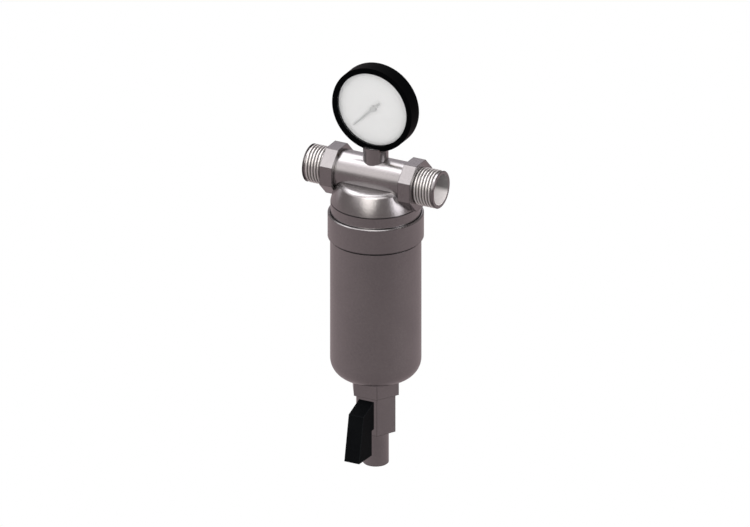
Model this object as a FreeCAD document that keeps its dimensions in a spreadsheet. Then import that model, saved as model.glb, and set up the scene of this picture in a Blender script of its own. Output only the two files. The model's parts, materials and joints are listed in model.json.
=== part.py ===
# Self-cleaning water filter for a 3/4 inch pipe, with a pressure gauge and a drain valve.
# Millimetres, +Z up. The inlet end face of the pipe is at the origin and water runs along +X.
# The bowl hangs under the middle of the pipe, the gauge faces -Y, the drain lever is in front.
import FreeCAD, Part
import Sketcher
import math
import os
import re

# Driving sizes. Drops and heights are measured down the bowl, reaches out from the bowl's axis.
SIZES = {
    # pipe run of the head
    "pipe_length": 100.0,
    "pipe_bore": 10.75,
    "pipe_thread": 13.22,
    "pipe_thread_length": 15.4,
    "thread_lead": 0.4,
    "octagon_across": 33.3,
    "octagon_width": 9.4,
    "tube_radius": 14.15,
    # boss for the gauge
    "gauge_boss_radius": 8.7,
    "gauge_boss_top": 23.2,
    "gauge_boss_lip": 2.2,
    "gauge_thread": 6.55,
    "gauge_thread_length": 9.0,
    "gauge_port": 2.5,
    # dome of the head, with the water chamber inside
    "dome_top_drop": 3.0,
    "dome_taper": 5.5,
    "dome_rounding": 4.0,
    "dome_base_drop": 17.9,
    "dome_wall": 4.5,
    "neck_step": 1.9,
    "neck_length": 12.6,
    "neck_wall": 3.8,
    # wall between inlet and outlet, and the pipe that the screen hangs on
    "partition_place": 9.0,
    "partition_thickness": 4.0,
    "seat_pipe_radius": 11.0,
    "seat_pipe_bore": 8.5,
    "seat_pipe_drop": 38.0,
    "outlet_port_radius": 5.5,
    "groove_depth": 1.2,
    "groove_width": 2.0,
    "groove_place": 2.0,
    # ring nut
    "collar_step": 0.2,
    "collar_height": 8.0,
    "band_wall": 1.7,
    "band_height": 18.4,
    "band_edge": 0.6,
    "thread_gap": 0.05,
    # bowl
    "bowl_radius": 31.1,
    "bowl_neck_step": 0.7,
    "bowl_wall": 3.5,
    "bowl_depth": 103.5,
    "bowl_floor": 4.0,
    "bowl_rounding": 13.5,
    "bowl_boss_across": 30.6,
    "bowl_boss_height": 11.7,
    "drain_hole": 6.0,
    "seal_thickness": 1.5,
    "seal_play": 0.01,
    # screen in the bowl
    "cage_radius": 17.0,
    "cage_wall": 1.4,
    "cage_top_drop": 31.5,
    "cage_ring": 7.5,
    "cage_foot": 11.0,
    "cage_foot_depth": 3.0,
    "cage_foot_bore": 8.5,
    "cage_hoop": 3.0,
    "cage_rib": 3.2,
    "cage_rows": 3,
    "cage_columns": 5,
    "mesh_wall": 0.5,
    "mesh_rows": 8,
    "mesh_columns": 12,
    "mesh_bar": 2.2,
    "fit_gap": 0.1,
    "overcut": 1.0,
    "overlap": 0.1,
    # drain valve
    "valve_across": 26.1,
    "valve_height": 27.9,
    "spigot_radius": 10.4,
    "spigot_length": 8.0,
    "valve_bore": 4.5,
    "ball_radius": 8.5,
    "ball_play": 0.1,
    "seat_radius": 7.6,
    "seat_bore": 4.9,
    "seat_reach": 9.1,
    "seat_height": 4.7,
    "cavity_radius": 9.3,
    "cavity_rise": 4.2,
    "end_thread": 10.4,
    "end_reach": 6.2,
    "stub_radius": 8.9,
    "stub_length": 25.4,
    "stub_bore": 6.0,
    "stub_edge": 0.4,
    # valve stem, along -Y from the ball
    "stem_radius": 3.4,
    "stem_flange": 4.7,
    "stem_flange_start": 9.05,
    "stem_flange_end": 10.25,
    "stem_gap": 0.1,
    "tang_start": 6.6,
    "tang_length": 6.4,
    "tang_thickness": 2.8,
    "tang_play": 0.2,
    "stem_square": 5.0,
    "stem_reach": 22.0,
    "stem_groove": 0.9,
    "stem_groove_place": 0.9,
    "stem_groove_width": 1.1,
    # drain lever, reaches from the valve's front flat, rises and drops from the stem
    "lever_width": 11.4,
    "lever_gap": 0.65,
    "lever_top_rise": 11.6,
    "lever_knee_reach": 16.1,
    "lever_knee_rise": 6.3,
    "lever_tip_reach": 22.7,
    "lever_tip_drop": 26.1,
    "lever_heel_reach": 3.85,
    "lever_heel_drop": 26.9,
    "lever_step_drop": 8.6,
    "lever_wall": 2.0,
    "lever_socket_gap": 0.1,
    "set_screw_radius": 1.2,
    "set_screw_length": 4.8,
    "set_screw_key": 1.3,
    # gauge case, heights from the middle of its depth towards the front
    "gauge_radius": 30.45,
    "gauge_half_depth": 5.9,
    "gauge_gap": 0.2,
    "case_wall": 2.1,
    "case_back": 1.0,
    "case_ledge": 0.7,
    "case_rounding": 0.8,
    "rim_wall": 1.1,
    "bezel_depth": 2.7,
    "bezel_lip": 0.6,
    "bezel_face": 4.0,
    "window_thickness": 0.8,
    "dial_height": 2.5,
    "dial_thickness": 0.5,
    "dial_hole": 1.5,
    "spacer_setback": 0.3,
    "pointer_reach": 21.0,
    "pointer_tail": 7.0,
    "pointer_half_width": 0.9,
    "pointer_tip_half": 0.25,
    "pointer_hub": 2.2,
    "pointer_height": 3.6,
    "pointer_thickness": 0.4,
    "pointer_cap": 0.2,
    "pointer_zero": 135.0,
    # gauge connection, drops from the middle of the dial
    "socket_neck": 3.2,
    "socket_bore": 0.8,
    "block_left": 9.0,
    "block_right": 5.0,
    "block_top": 16.5,
    "block_roof": 2.2,
    "block_front": 0.2,
    "tongue_drop": 8.0,
    "tongue_thickness": 0.7,
    "feed_inset": 1.12,
    "stalk_foot": 2.0,
    # pressure tube and its end
    "tube_mid_radius": 20.5,
    "tube_thickness": 2.0,
    "tube_width": 4.0,
    "tube_skin": 0.3,
    "tube_height": -2.4,
    "tube_tip_angle": -12.0,
    "tube_sweep": 260.0,
    "tube_root_turn": 8.0,
    "tip_block": 1.6,
    "tip_pin_reach": 14.75,
    "tip_arm_height": -2.6,
    "tip_arm_thickness": 0.5,
    # plates of the movement
    "plate_thickness": 0.6,
    "plate_left": 5.3,
    "plate_right": 14.5,
    "plate_top": 4.8,
    "plate_bottom": 16.2,
    "plate_limit": 18.8,
    "front_plate_height": -1.2,
    "pillar_radius": 1.0,
    "pillar_left": -3.8,
    "pillar_right": 3.5,
    "pillar_high": 3.4,
    "pillar_low": 14.8,
    # toothed sector, pinion and link
    "tooth_module": 0.5,
    "pinion_teeth": 10,
    "sector_ratio": 5,
    "sector_teeth": 11,
    "sector_lead": 9,
    "sector_arm": 1.5,
    "sector_turn": 54.0,
    "pivot_angle": -48.0,
    "tooth_play": 0.06,
    "tooth_rise": 0.42,
    "tooth_root": 0.62,
    "root_slope": 0.3,
    "sector_slope": 0.42,
    "pinion_slope": 0.5,
    "sector_height": -3.3,
    "sector_thickness": 0.5,
    "sector_rim": 2.6,
    "sector_hub": 1.9,
    "sector_arbor": 0.8,
    "arbor_radius": 0.6,
    "pivot_gap": 0.1,
    "tail_length": 4.5,
    "tail_width": 2.0,
    "pin_radius": 0.5,
    "pin_top": -1.35,
    "link_height": -1.95,
    "link_thickness": 0.5,
    "link_half_width": 1.7,
    "link_slot_play": 0.38,
}

# Places worked out from the driving sizes
BOWL_AXIS = "pipe_length / 2"
COLLAR = "(bowl_radius - collar_step)"
BAND = "(bowl_radius + band_wall)"
BOWL_BORE = "(bowl_radius - bowl_wall)"
BOWL_NECK = "(bowl_radius - bowl_neck_step)"
HEAD_NECK = "(bowl_radius - neck_step)"
CHAMBER = "(bowl_radius - neck_step - neck_wall)"
DOME_TOP = "(bowl_radius - dome_taper)"
Z_DOME = "-dome_base_drop"
Z_NECK = f"{Z_DOME} - neck_length"
Z_RIM = f"{Z_NECK} - seal_thickness"
Z_BAND = f"{Z_DOME} - collar_height"
Z_NUT = f"{Z_BAND} - band_height"
Z_BOWL = f"{Z_NUT} - bowl_depth"
Z_FLOOR = f"{Z_BOWL} + bowl_floor"
Z_BOSS = f"{Z_BOWL} - bowl_boss_height"
Z_VALVE = f"{Z_BOSS} - valve_height"
Z_STUB = f"{Z_VALVE} - stub_length"
Z_BALL = f"{Z_BOSS} - valve_height / 2"
Z_SPIGOT = f"{Z_BOSS} + spigot_length"
Z_SADDLE = "(gauge_boss_top - gauge_boss_lip)"
Z_GAUGE = f"{Z_SADDLE} + gauge_gap + gauge_radius"
VALVE_FRONT = "valve_across / 2"
LEVER_BACK = f"{VALVE_FRONT} + lever_gap"
PINION_PITCH = "tooth_module * pinion_teeth / 2"
SECTOR_PITCH = f"{PINION_PITCH} * sector_ratio"
PIVOT_X = f"({SECTOR_PITCH} + {PINION_PITCH}) * cos(pivot_angle)"
PIVOT_Y = f"({SECTOR_PITCH} + {PINION_PITCH}) * sin(pivot_angle)"

# Directions that local +Z can be turned to
UPRIGHT = FreeCAD.Rotation()
ALONG_PIPE = FreeCAD.Rotation(FreeCAD.Vector(0, 1, 0), 90)
TO_FRONT = FreeCAD.Rotation(FreeCAD.Vector(1, 0, 0), 90)

doc = FreeCAD.newDocument("water_filter")
sheet = doc.addObject("Spreadsheet::Sheet", "sizes")
for row, (alias, value) in enumerate(SIZES.items(), start=1):
    sheet.set(f"A{row}", alias)
    sheet.set(f"B{row}", str(value))
    sheet.setAlias(f"B{row}", alias)
doc.recompute()


def formula(text):
    """A formula in sheet aliases, written the way setExpression wants it."""
    return re.sub(r"[a-z_]+", lambda m: f"sizes.{m[0]}" if m[0] in SIZES else m[0], str(text))


def number(text):
    """The present value of a formula."""
    return float(sheet.evalExpression(formula(text)))


def bind(thing, **formulas):
    for prop, text in formulas.items():
        thing.setExpression(prop, formula(text))
    return thing


def put(thing, x="0", y="0", z="0", turn=UPRIGHT):
    thing.Placement = FreeCAD.Placement(FreeCAD.Vector(number(x), number(y), number(z)), turn)
    for axis, text in (("x", x), ("y", y), ("z", z)):
        thing.setExpression(f"Placement.Base.{axis}", formula(text))
    return thing


def under_head(thing, z="0", turn=UPRIGHT):
    """Places a piece on the bowl's axis."""
    return put(thing, BOWL_AXIS, "0", z, turn)


def in_gauge(thing, spin=0.0, x="0", y="0"):
    """Places a gauge piece drawn with X across, Y up the dial and Z towards the front."""
    turn = TO_FRONT.multiply(FreeCAD.Rotation(FreeCAD.Vector(0, 0, 1), spin))
    return put(thing, f"{BOWL_AXIS} + {x}", "0", f"{Z_GAUGE} + {y}", turn)


# Primitives and booleans
def cylinder(name, radius, height, x="0", y="0", z="0", turn=UPRIGHT):
    solid = doc.addObject("Part::Cylinder", name)
    bind(solid, Radius=radius, Height=height)
    return put(solid, x, y, z, turn)


def block(name, length, width, height, x="0", y="0", z="0", turn=UPRIGHT):
    """A box centred on x and y, standing on z."""
    solid = doc.addObject("Part::Box", name)
    bind(solid, Length=length, Width=width, Height=height)
    return put(solid, f"{x} - ({length}) / 2", f"{y} - ({width}) / 2", z, turn)


def prism(name, sides, across, height, x="0", y="0", z="0", turn=UPRIGHT):
    solid = doc.addObject("Part::Prism", name)
    solid.Polygon = sides
    bind(solid, Circumradius=f"({across}) / 2 / cos({180 / sides})", Height=height)
    return put(solid, x, y, z, turn)


def fuse(name, *things):
    joined = doc.addObject("Part::MultiFuse", name)
    joined.Shapes = list(things)
    joined.Refine = True
    return joined


def cut(name, base, *tools):
    result = doc.addObject("Part::Cut", name)
    result.Base = base
    result.Tool = tools[0] if len(tools) == 1 else fuse(name + "_tools", *tools)
    return result


# Bodies, sketches and features
def body(name):
    return doc.addObject("PartDesign::Body", name)


def sketch(owner, name, plane="XZ_Plane", height="0"):
    drawing = owner.newObject("Sketcher::SketchObject", name)
    support = [item for item in owner.Origin.OriginFeatures if item.Role == plane][0]
    drawing.AttachmentSupport = [(support, "")]
    drawing.MapMode = "FlatFace"
    drawing.setExpression("AttachmentOffset.Base.z", formula(height))
    return drawing


def outline(drawing, points):
    """Adds a closed outline whose corners stay where their formulas say."""
    first = drawing.GeometryCount
    places = [FreeCAD.Vector(number(x), number(y), 0) for x, y in points]
    for start, end in zip(places, places[1:] + places[:1]):
        drawing.addGeometry(Part.LineSegment(start, end), False)
    for step, (point, place) in enumerate(zip(points, places)):
        line = first + step
        following = first + (step + 1) % len(points)
        drawing.addConstraint(Sketcher.Constraint("Coincident", line, 2, following, 1))
        for kind, text, value in (("DistanceX", point[0], place.x), ("DistanceY", point[1], place.y)):
            held = drawing.addConstraint(Sketcher.Constraint(kind, -1, 1, line, 1, value))
            drawing.setExpression(f"Constraints[{held}]", formula(text))


def circle(drawing, radius, x="0", y="0"):
    place = FreeCAD.Vector(number(x), number(y), 0)
    ring = drawing.addGeometry(Part.Circle(place, FreeCAD.Vector(0, 0, 1), number(radius)), False)
    for kind, text, value in (("DistanceX", x, place.x), ("DistanceY", y, place.y)):
        held = drawing.addConstraint(Sketcher.Constraint(kind, -1, 1, ring, 3, value))
        drawing.setExpression(f"Constraints[{held}]", formula(text))
    held = drawing.addConstraint(Sketcher.Constraint("Radius", ring, number(radius)))
    drawing.setExpression(f"Constraints[{held}]", formula(radius))


def round_slot(drawing, half_width, x, start, end):
    """Adds a slot along Y with round ends, from the start centre up to the end centre."""
    middle, low, high, half = number(x), number(start), number(end), number(half_width)
    first = drawing.GeometryCount
    up = FreeCAD.Vector(0, 0, 1)
    bottom = Part.Circle(FreeCAD.Vector(middle, low, 0), up, half)
    top = Part.Circle(FreeCAD.Vector(middle, high, 0), up, half)
    left = [FreeCAD.Vector(middle - half, low, 0), FreeCAD.Vector(middle - half, high, 0)]
    right = [FreeCAD.Vector(middle + half, low, 0), FreeCAD.Vector(middle + half, high, 0)]
    drawing.addGeometry(Part.ArcOfCircle(bottom, math.pi, 2 * math.pi), False)
    drawing.addGeometry(Part.LineSegment(*right), False)
    drawing.addGeometry(Part.ArcOfCircle(top, 0, math.pi), False)
    drawing.addGeometry(Part.LineSegment(*reversed(left)), False)
    for line in range(4):
        ends = (first + line, 2, first + (line + 1) % 4, 1)
        drawing.addConstraint(Sketcher.Constraint("Tangent", *ends))
    for arc, height, value in ((first, start, low), (first + 2, end, high)):
        for kind, text, place in (("DistanceX", x, middle), ("DistanceY", height, value)):
            held = drawing.addConstraint(Sketcher.Constraint(kind, -1, 1, arc, 3, place))
            drawing.setExpression(f"Constraints[{held}]", formula(text))
    held = drawing.addConstraint(Sketcher.Constraint("Radius", first, half))
    drawing.setExpression(f"Constraints[{held}]", formula(half_width))


def revolve(owner, name, points, angle="360"):
    """Turns a half section, given as radius and height, about the body's Z axis."""
    section = sketch(owner, name + "_section")
    outline(section, points)
    solid = owner.newObject("PartDesign::Revolution", name)
    solid.Profile = section
    solid.ReferenceAxis = (section, ["V_Axis"])
    return bind(solid, Angle=angle)


def groove(owner, name, points):
    section = sketch(owner, name + "_section")
    outline(section, points)
    solid = owner.newObject("PartDesign::Groove", name)
    solid.Profile = section
    solid.ReferenceAxis = (section, ["V_Axis"])
    solid.Angle = 360
    return solid


def pad(owner, name, drawing, length, both_ways=False):
    solid = owner.newObject("PartDesign::Pad", name)
    solid.Profile = drawing
    solid.Midplane = both_ways
    return bind(solid, Length=length)


def pocket(owner, name, drawing, length, both_ways=False, backwards=False):
    """Cuts into the body, and stops where the cut takes nothing away."""
    doc.recompute()
    before = owner.Shape.Volume
    solid = owner.newObject("PartDesign::Pocket", name)
    solid.Profile = drawing
    solid.Midplane = both_ways
    solid.Reversed = backwards
    bind(solid, Length=length)
    doc.recompute()
    if owner.Shape.Volume >= before - 1e-6:
        raise RuntimeError(f"{name} cuts nothing")
    return solid


def turned(name, points):
    owner = body(name)
    revolve(owner, name + "_form", points)
    return owner


def round_edges(owner, name, radius, wanted):
    """Rounds the edges of the last feature that the test picks."""
    doc.recompute()
    base = owner.Tip
    edges = [f"Edge{i}" for i, edge in enumerate(base.Shape.Edges, start=1) if wanted(edge)]
    if not edges:
        raise RuntimeError(f"{name} finds no edge")
    solid = owner.newObject("PartDesign::Fillet", name)
    solid.Base = (base, edges)
    return bind(solid, Radius=radius)


def is_circle(radius, height):
    """A test for a full circle about Z at a height."""
    size, level = number(radius), number(height)

    def wanted(edge):
        curve = edge.Curve
        if not isinstance(curve, Part.Circle):
            return False
        return abs(curve.Radius - size) < 1e-4 and abs(curve.Center.z - level) < 1e-4
    return wanted


# Head: one casting with the pipe, the gauge boss, the dome and the passages inside
def make_pipe_form():
    # turned pipe with a thread at each end, drawn with its axis up and laid along X
    half = "pipe_length / 2"
    end = f"{half} - pipe_thread_length"
    points = [("0", f"-({half})"), ("pipe_thread - thread_lead", f"-({half})"),
              ("pipe_thread", f"-({half}) + thread_lead"), ("pipe_thread", f"-({end})"),
              ("tube_radius", f"-({end})"), ("tube_radius", end),
              ("pipe_thread", end), ("pipe_thread", f"{half} - thread_lead"),
              ("pipe_thread - thread_lead", half), ("0", half)]
    return put(turned("pipe_form", points), turn=ALONG_PIPE)


def make_octagon(name, start):
    flats_up = ALONG_PIPE.multiply(FreeCAD.Rotation(FreeCAD.Vector(0, 0, 1), 22.5))
    return prism(name, 8, "octagon_across", "octagon_width", x=start, turn=flats_up)


def make_dome_form():
    dome = body("dome_form")
    revolve(dome, "dome_turned", [
        ("0", "-dome_top_drop"), (DOME_TOP, "-dome_top_drop"), (COLLAR, Z_DOME),
        (HEAD_NECK, Z_DOME), (HEAD_NECK, Z_NECK), (CHAMBER, Z_NECK),
        (CHAMBER, Z_DOME), (f"{DOME_TOP} - dome_wall", "-dome_top_drop - dome_wall"),
        ("0", "-dome_top_drop - dome_wall")])
    round_edges(dome, "dome_edge", "dome_rounding", is_circle(DOME_TOP, "-dome_top_drop"))
    return dome


def make_head_body():
    octagon_end = "pipe_length / 2 - pipe_thread_length"
    cast = fuse(
        "head_cast", make_pipe_form(), make_dome_form(),
        make_octagon("inlet_octagon", f"-({octagon_end})"),
        make_octagon("outlet_octagon", f"{octagon_end} - octagon_width"),
        cylinder("gauge_boss", "gauge_boss_radius", "gauge_boss_top"),
        cylinder("seat_pipe", "seat_pipe_radius", "seat_pipe_drop", z="-seat_pipe_drop"))
    inlet_run = "pipe_length / 2 + partition_place"
    outlet_start = "partition_place + partition_thickness"
    seal_groove = turned("seal_groove", [
        ("seat_pipe_radius - groove_depth", "-seat_pipe_drop + groove_place"),
        ("seat_pipe_radius + overcut", "-seat_pipe_drop + groove_place"),
        ("seat_pipe_radius + overcut", "-seat_pipe_drop + groove_place + groove_width"),
        ("seat_pipe_radius - groove_depth", "-seat_pipe_drop + groove_place + groove_width")])
    head = cut(
        "head_body", cast,
        cylinder("inlet_bore", "pipe_bore", inlet_run, x="-pipe_length / 2", turn=ALONG_PIPE),
        cylinder("outlet_bore", "pipe_bore", f"pipe_length / 2 - ({outlet_start})",
                 x=outlet_start, turn=ALONG_PIPE),
        cylinder("down_bore", "seat_pipe_bore", "seat_pipe_drop", z="-seat_pipe_drop"),
        cylinder("outlet_port", "outlet_port_radius", "tube_radius + overcut",
                 x=f"{outlet_start} + outlet_port_radius", z="-tube_radius - overcut"),
        cylinder("gauge_tapping", "gauge_thread + thread_gap", "gauge_thread_length + gauge_boss_lip",
                 z=f"{Z_SADDLE} - gauge_thread_length"),
        cylinder("gauge_hole", "gauge_port", "gauge_boss_top"),
        cylinder("gauge_saddle", "gauge_radius + gauge_gap", "2 * (gauge_half_depth + gauge_gap)",
                 y="gauge_half_depth + gauge_gap", z=Z_GAUGE, turn=TO_FRONT),
        seal_groove)
    return under_head(head)


def make_ring_nut():
    gap = "thread_gap"
    return under_head(turned("ring_nut", [
        (f"{HEAD_NECK} + {gap}", Z_DOME), (COLLAR, Z_DOME), (COLLAR, Z_BAND),
        (f"{BAND} - band_edge", Z_BAND), (BAND, f"{Z_BAND} - band_edge"),
        (BAND, f"{Z_NUT} + band_edge"), (f"{BAND} - band_edge", Z_NUT),
        (f"{BOWL_NECK} + {gap}", Z_NUT), (f"{BOWL_NECK} + {gap}", Z_NECK),
        (f"{HEAD_NECK} + {gap}", Z_NECK)]))


def make_bowl_seal():
    return under_head(turned("bowl_seal", [
        (BOWL_BORE, Z_RIM), (BOWL_NECK, Z_RIM), (BOWL_NECK, Z_NECK), (BOWL_BORE, Z_NECK)]))


def make_bowl():
    bowl = body("bowl")
    revolve(bowl, "bowl_wall", [
        ("0", Z_FLOOR), (BOWL_BORE, Z_FLOOR), (BOWL_BORE, Z_RIM), (BOWL_NECK, Z_RIM),
        (BOWL_NECK, Z_NUT), ("bowl_radius", Z_NUT), ("bowl_radius", Z_BOWL), ("0", Z_BOWL)])
    round_edges(bowl, "bowl_foot", "bowl_rounding", is_circle("bowl_radius", Z_BOWL))
    round_edges(bowl, "bowl_inner_foot", "bowl_rounding - bowl_wall", is_circle(BOWL_BORE, Z_FLOOR))
    corner = "bowl_boss_across / 2 / cos(30)"
    hexagon = sketch(bowl, "boss_hexagon", "XY_Plane", Z_BOSS)
    outline(hexagon, [(f"{corner} * cos({60 * k})", f"{corner} * sin({60 * k})") for k in range(6)])
    pad(bowl, "bowl_boss", hexagon, "bowl_boss_height + bowl_floor / 2")
    socket_top = f"{Z_SPIGOT} + seal_thickness"
    groove(bowl, "drain_bore", [
        ("0", f"{Z_BOSS} - overcut"), ("spigot_radius + thread_gap", f"{Z_BOSS} - overcut"),
        ("spigot_radius + thread_gap", socket_top), ("drain_hole", socket_top),
        ("drain_hole", f"{Z_FLOOR} - cage_foot_depth"),
        ("cage_foot + fit_gap", f"{Z_FLOOR} - cage_foot_depth"),
        ("cage_foot + fit_gap", f"{Z_FLOOR} + overcut"), ("0", f"{Z_FLOOR} + overcut")])
    return under_head(bowl)


# Screen: a moulded cage with the fine mesh inside it, open at the foot for the dirt to leave
def make_screen_cage():
    cage = body("screen_cage")
    inner = "cage_radius - cage_wall"
    top = "-cage_top_drop"
    revolve(cage, "cage_form", [
        ("seat_pipe_radius + fit_gap", top), ("cage_radius", top), ("cage_radius", Z_FLOOR),
        ("cage_foot", Z_FLOOR), ("cage_foot", f"{Z_FLOOR} - cage_foot_depth"),
        ("cage_foot_bore", f"{Z_FLOOR} - cage_foot_depth"), ("cage_foot_bore", f"{Z_FLOOR} + cage_hoop"),
        (inner, f"{Z_FLOOR} + cage_hoop"), (inner, f"{top} - cage_ring"),
        ("seat_pipe_radius + fit_gap", f"{top} - cage_ring")])
    low = f"({Z_FLOOR} + cage_hoop)"
    row = f"(({top} - cage_ring - {low} + cage_hoop) / cage_rows)"
    half = f"(cage_radius * sin(180 / cage_columns) - cage_rib / 2)"
    window = sketch(cage, "cage_windows")
    for k in range(SIZES["cage_rows"]):
        bottom = f"{low} + {k} * {row}"
        outline(window, [(f"-{half}", bottom), (half, bottom),
                         (half, f"{bottom} + {row} - cage_hoop"),
                         (f"-{half}", f"{bottom} + {row} - cage_hoop")])
    opening = pocket(cage, "cage_opening", window, "cage_radius + overcut", backwards=True)
    pattern = cage.newObject("PartDesign::PolarPattern", "cage_openings")
    pattern.Originals = [opening]
    pattern.Axis = (window, ["V_Axis"])
    bind(pattern, Occurrences="cage_columns")
    pattern.Angle = 360
    cage.Tip = pattern
    return under_head(cage)


def make_screen_mesh():
    mesh = body("screen_mesh")
    outer = "(cage_radius - cage_wall - fit_gap)"
    low = f"({Z_FLOOR} + cage_hoop + fit_gap)"
    high = "(-cage_top_drop - cage_ring - fit_gap)"
    revolve(mesh, "mesh_form", [(f"{outer} - mesh_wall", low), (outer, low), (outer, high),
                                (f"{outer} - mesh_wall", high)])
    row = f"(({high} - {low} - mesh_bar) / mesh_rows)"
    half = f"({outer} * sin(180 / mesh_columns) - mesh_bar / 2)"
    window = sketch(mesh, "mesh_windows")
    for k in range(SIZES["mesh_rows"]):
        bottom = f"{low} + mesh_bar + {k} * {row}"
        outline(window, [(f"-{half}", bottom), (half, bottom), (half, f"{bottom} + {row} - mesh_bar"),
                         (f"-{half}", f"{bottom} + {row} - mesh_bar")])
    opening = pocket(mesh, "mesh_opening", window, f"{outer} + overcut", backwards=True)
    pattern = mesh.newObject("PartDesign::PolarPattern", "mesh_openings")
    pattern.Originals = [opening]
    pattern.Axis = (window, ["V_Axis"])
    bind(pattern, Occurrences="mesh_columns")
    pattern.Angle = 360
    mesh.Tip = pattern
    return under_head(mesh)


def make_screen_seal():
    ring = doc.addObject("Part::Torus", "screen_seal")
    bind(ring, Radius1="seat_pipe_radius + (fit_gap - groove_depth) / 2",
         Radius2="(groove_depth + fit_gap) / 2 - seal_play")
    return under_head(ring, "-seat_pipe_drop + groove_place + groove_width / 2")


# Drain valve
def make_valve_body():
    cast = fuse("valve_cast",
                prism("valve_hexagon", 6, "valve_across", "valve_height", z=Z_VALVE),
                cylinder("valve_spigot", "spigot_radius", "spigot_length", z=Z_BOSS))
    stem_z = Z_BALL
    pocket_end = "stem_flange_end + stem_gap / 2"
    body_cut = cut(
        "valve_body", cast,
        cylinder("valve_waterway", "valve_bore", "valve_height + spigot_length", z=Z_VALVE),
        cylinder("upper_seat_bore", "seat_radius + thread_gap", "seat_reach", z=Z_BALL),
        cylinder("ball_cavity", "cavity_radius", "valve_height / 2 + cavity_rise", z=Z_VALVE),
        cylinder("end_tapping", "end_thread + thread_gap", "valve_height / 2 - end_reach", z=Z_VALVE),
        cylinder("stem_bore", "stem_radius + stem_gap", f"{VALVE_FRONT} + overcut", z=stem_z, turn=TO_FRONT),
        cylinder("stem_pocket", "stem_flange + stem_gap", pocket_end, z=stem_z, turn=TO_FRONT))
    return under_head(body_cut)


def make_valve_gasket():
    top = f"{Z_SPIGOT} + seal_thickness"
    return under_head(turned("valve_gasket", [
        ("drain_hole", Z_SPIGOT), ("spigot_radius", Z_SPIGOT), ("spigot_radius", top),
        ("drain_hole", top)]))


def make_ball():
    sphere = doc.addObject("Part::Sphere", "ball_form")
    bind(sphere, Radius="ball_radius")
    put(sphere)
    bore = cylinder("ball_bore", "valve_bore", "2 * ball_radius", z="-ball_radius")
    slot = block("ball_slot", "2 * ball_radius", "ball_radius", "tang_thickness + 2 * ball_play",
                 y="-tang_start + tang_play - ball_radius / 2", z="-tang_thickness / 2 - ball_play")
    return under_head(cut("ball", sphere, bore, slot), Z_BALL)


def make_seat(name, low):
    ring = turned(name + "_ring", [("seat_bore", low), ("seat_radius", low),
                                   ("seat_radius", f"{low} + seat_height"),
                                   ("seat_bore", f"{low} + seat_height")])
    hollow = doc.addObject("Part::Sphere", name + "_hollow")
    bind(hollow, Radius="ball_radius + ball_play")
    put(hollow)
    return under_head(cut(name, ring, hollow), Z_BALL)


def make_valve_end():
    top = f"{Z_BALL} - end_reach"
    seat_floor = f"{Z_BALL} - seat_reach"
    return under_head(turned("valve_end", [
        ("seat_radius + thread_gap", top), ("end_thread", top), ("end_thread", Z_VALVE),
        ("stub_radius", Z_VALVE), ("stub_radius", f"{Z_STUB} + stub_edge"),
        ("stub_radius - stub_edge", Z_STUB), ("stub_bore", Z_STUB),
        ("stub_bore", f"{Z_VALVE} + stub_edge"),
        ("valve_bore", f"{Z_VALVE} + stub_edge + stub_bore - valve_bore"),
        ("valve_bore", seat_floor), ("seat_radius + thread_gap", seat_floor)]))


def make_valve_stem():
    groove_start = "stem_flange_end + stem_groove_place"
    groove_end = f"{groove_start} + stem_groove_width"
    shank_end = f"({VALVE_FRONT} + lever_gap / 2)"
    shank = turned("stem_shank", [
        ("0", "stem_flange_start"), ("stem_flange", "stem_flange_start"),
        ("stem_flange", "stem_flange_end"), ("stem_radius", "stem_flange_end"),
        ("stem_radius", groove_start), ("stem_radius - stem_groove", groove_start),
        ("stem_radius - stem_groove", groove_end), ("stem_radius", groove_end),
        ("stem_radius", shank_end), ("0", shank_end)])
    tang = block("stem_tang", "tang_length", "tang_thickness",
                 "stem_flange_start - tang_start + overlap", z="tang_start")
    square = block("stem_end", "stem_square", "stem_square", f"stem_reach - {shank_end} + overlap",
                   z=f"{shank_end} - overlap")
    return under_head(fuse("valve_stem", shank, tang, square), Z_BALL, TO_FRONT)


def make_stem_seal():
    ring = doc.addObject("Part::Torus", "stem_seal")
    bind(ring, Radius1="stem_radius + (stem_gap - stem_groove) / 2",
         Radius2="(stem_groove + stem_gap) / 2 - seal_play")
    place = "stem_flange_end + stem_groove_place + stem_groove_width / 2"
    return put(ring, BOWL_AXIS, f"-({place})", Z_BALL, TO_FRONT)


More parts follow.
